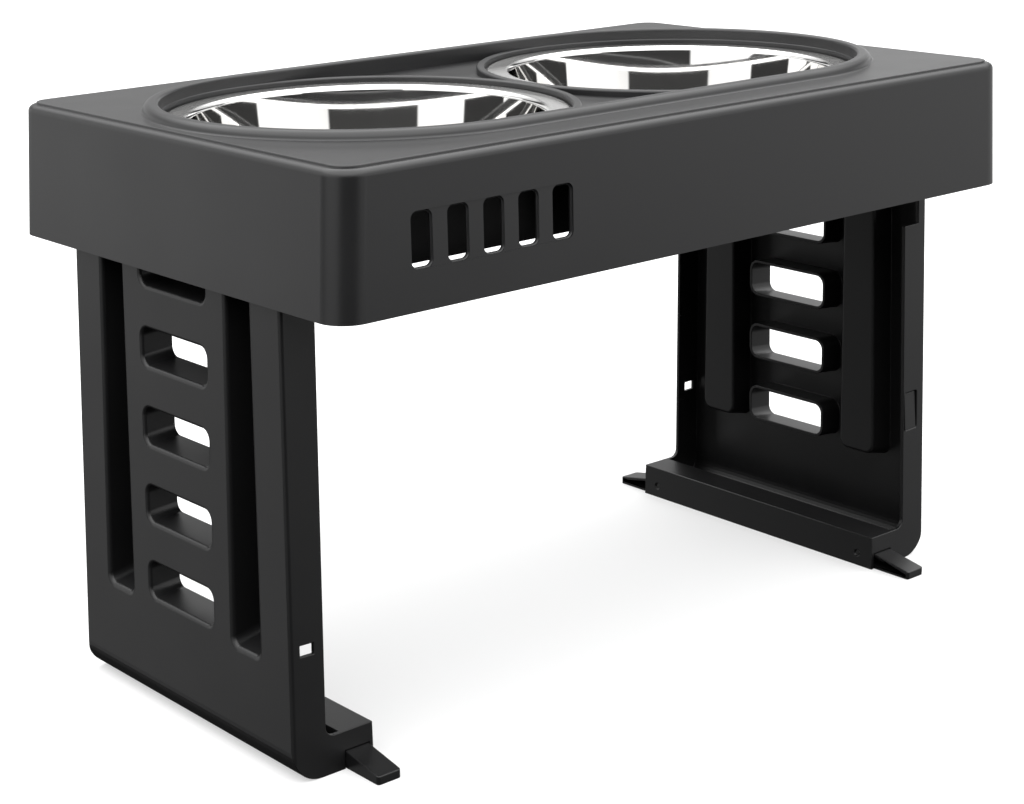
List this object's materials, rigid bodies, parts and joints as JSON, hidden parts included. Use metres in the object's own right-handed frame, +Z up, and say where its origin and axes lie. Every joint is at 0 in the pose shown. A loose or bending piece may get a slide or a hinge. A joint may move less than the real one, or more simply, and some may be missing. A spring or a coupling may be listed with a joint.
{
  "type": "raised dog feeder stand",
  "caption": "Raised pet feeder: black moulded tray holding lift-out steel bowls, on plug-in windowed legs with fold-out stabilising feet.",
  "frame": {"origin": "on the floor under the centre of the tray", "axes": "+X along the tray, +Y away from its vented long side, +Z up"},
  "size_m": [0.4608, 0.2726, 0.3],
  "materials": {
    "tray_plastic": "satin",
    "leg_plastic": "satin",
    "bowl_steel": "mirror inside, satin flange",
    "pin_steel": "plain, darkened"
  },
  "bodies": {
    "tray": {"tray": "tray_plastic"},
    "bowl_left": {"bowl_left": "bowl_steel"},
    "bowl_right": {"bowl_right": "bowl_steel"},
    "leg_left": {"leg_left": "leg_plastic", "pin_left_front": "pin_steel", "pin_left_back": "pin_steel"},
    "stabiliser_left_front": {"stabiliser_left_front": "leg_plastic"},
    "stabiliser_left_back": {"stabiliser_left_back": "leg_plastic"},
    "leg_right": {"leg_right": "leg_plastic", "pin_right_front": "pin_steel", "pin_right_back": "pin_steel"},
    "stabiliser_right_front": {"stabiliser_right_front": "leg_plastic"},
    "stabiliser_right_back": {"stabiliser_right_back": "leg_plastic"}
  },
  "joints": [
    {"name": "bowl_left_lift", "type": "slide", "parent": "tray", "child": "bowl_left", "axis": [0, 0, 1], "range_m": [0, 0.08]},
    {"name": "bowl_right_lift", "type": "slide", "parent": "tray", "child": "bowl_right", "axis": [0, 0, 1], "range_m": [0, 0.08]},
    {"name": "leg_left_pull", "type": "slide", "parent": "tray", "child": "leg_left", "axis": [-0.0279, 0, -0.9996], "range_m": [0, 0.055]},
    {"name": "stabiliser_left_front_fold", "type": "hinge", "parent": "leg_left", "child": "stabiliser_left_front", "pos_m": [-0.19334, -0.08154, 0.0075], "axis": [1, 0, 0], "range_deg": [0, 180]},
    {"name": "stabiliser_left_back_fold", "type": "hinge", "parent": "leg_left", "child": "stabiliser_left_back", "pos_m": [-0.19334, 0.08154, 0.0075], "axis": [-1, 0, 0], "range_deg": [0, 180]},
    {"name": "leg_right_pull", "type": "slide", "parent": "tray", "child": "leg_right", "axis": [0.0279, 0, -0.9996], "range_m": [0, 0.055]},
    {"name": "stabiliser_right_front_fold", "type": "hinge", "parent": "leg_right", "child": "stabiliser_right_front", "pos_m": [0.19334, -0.08154, 0.0075], "axis": [1, 0, 0], "range_deg": [0, 180]},
    {"name": "stabiliser_right_back_fold", "type": "hinge", "parent": "leg_right", "child": "stabiliser_right_back", "pos_m": [0.19334, 0.08154, 0.0075], "axis": [-1, 0, 0], "range_deg": [0, 180]}
  ]
}
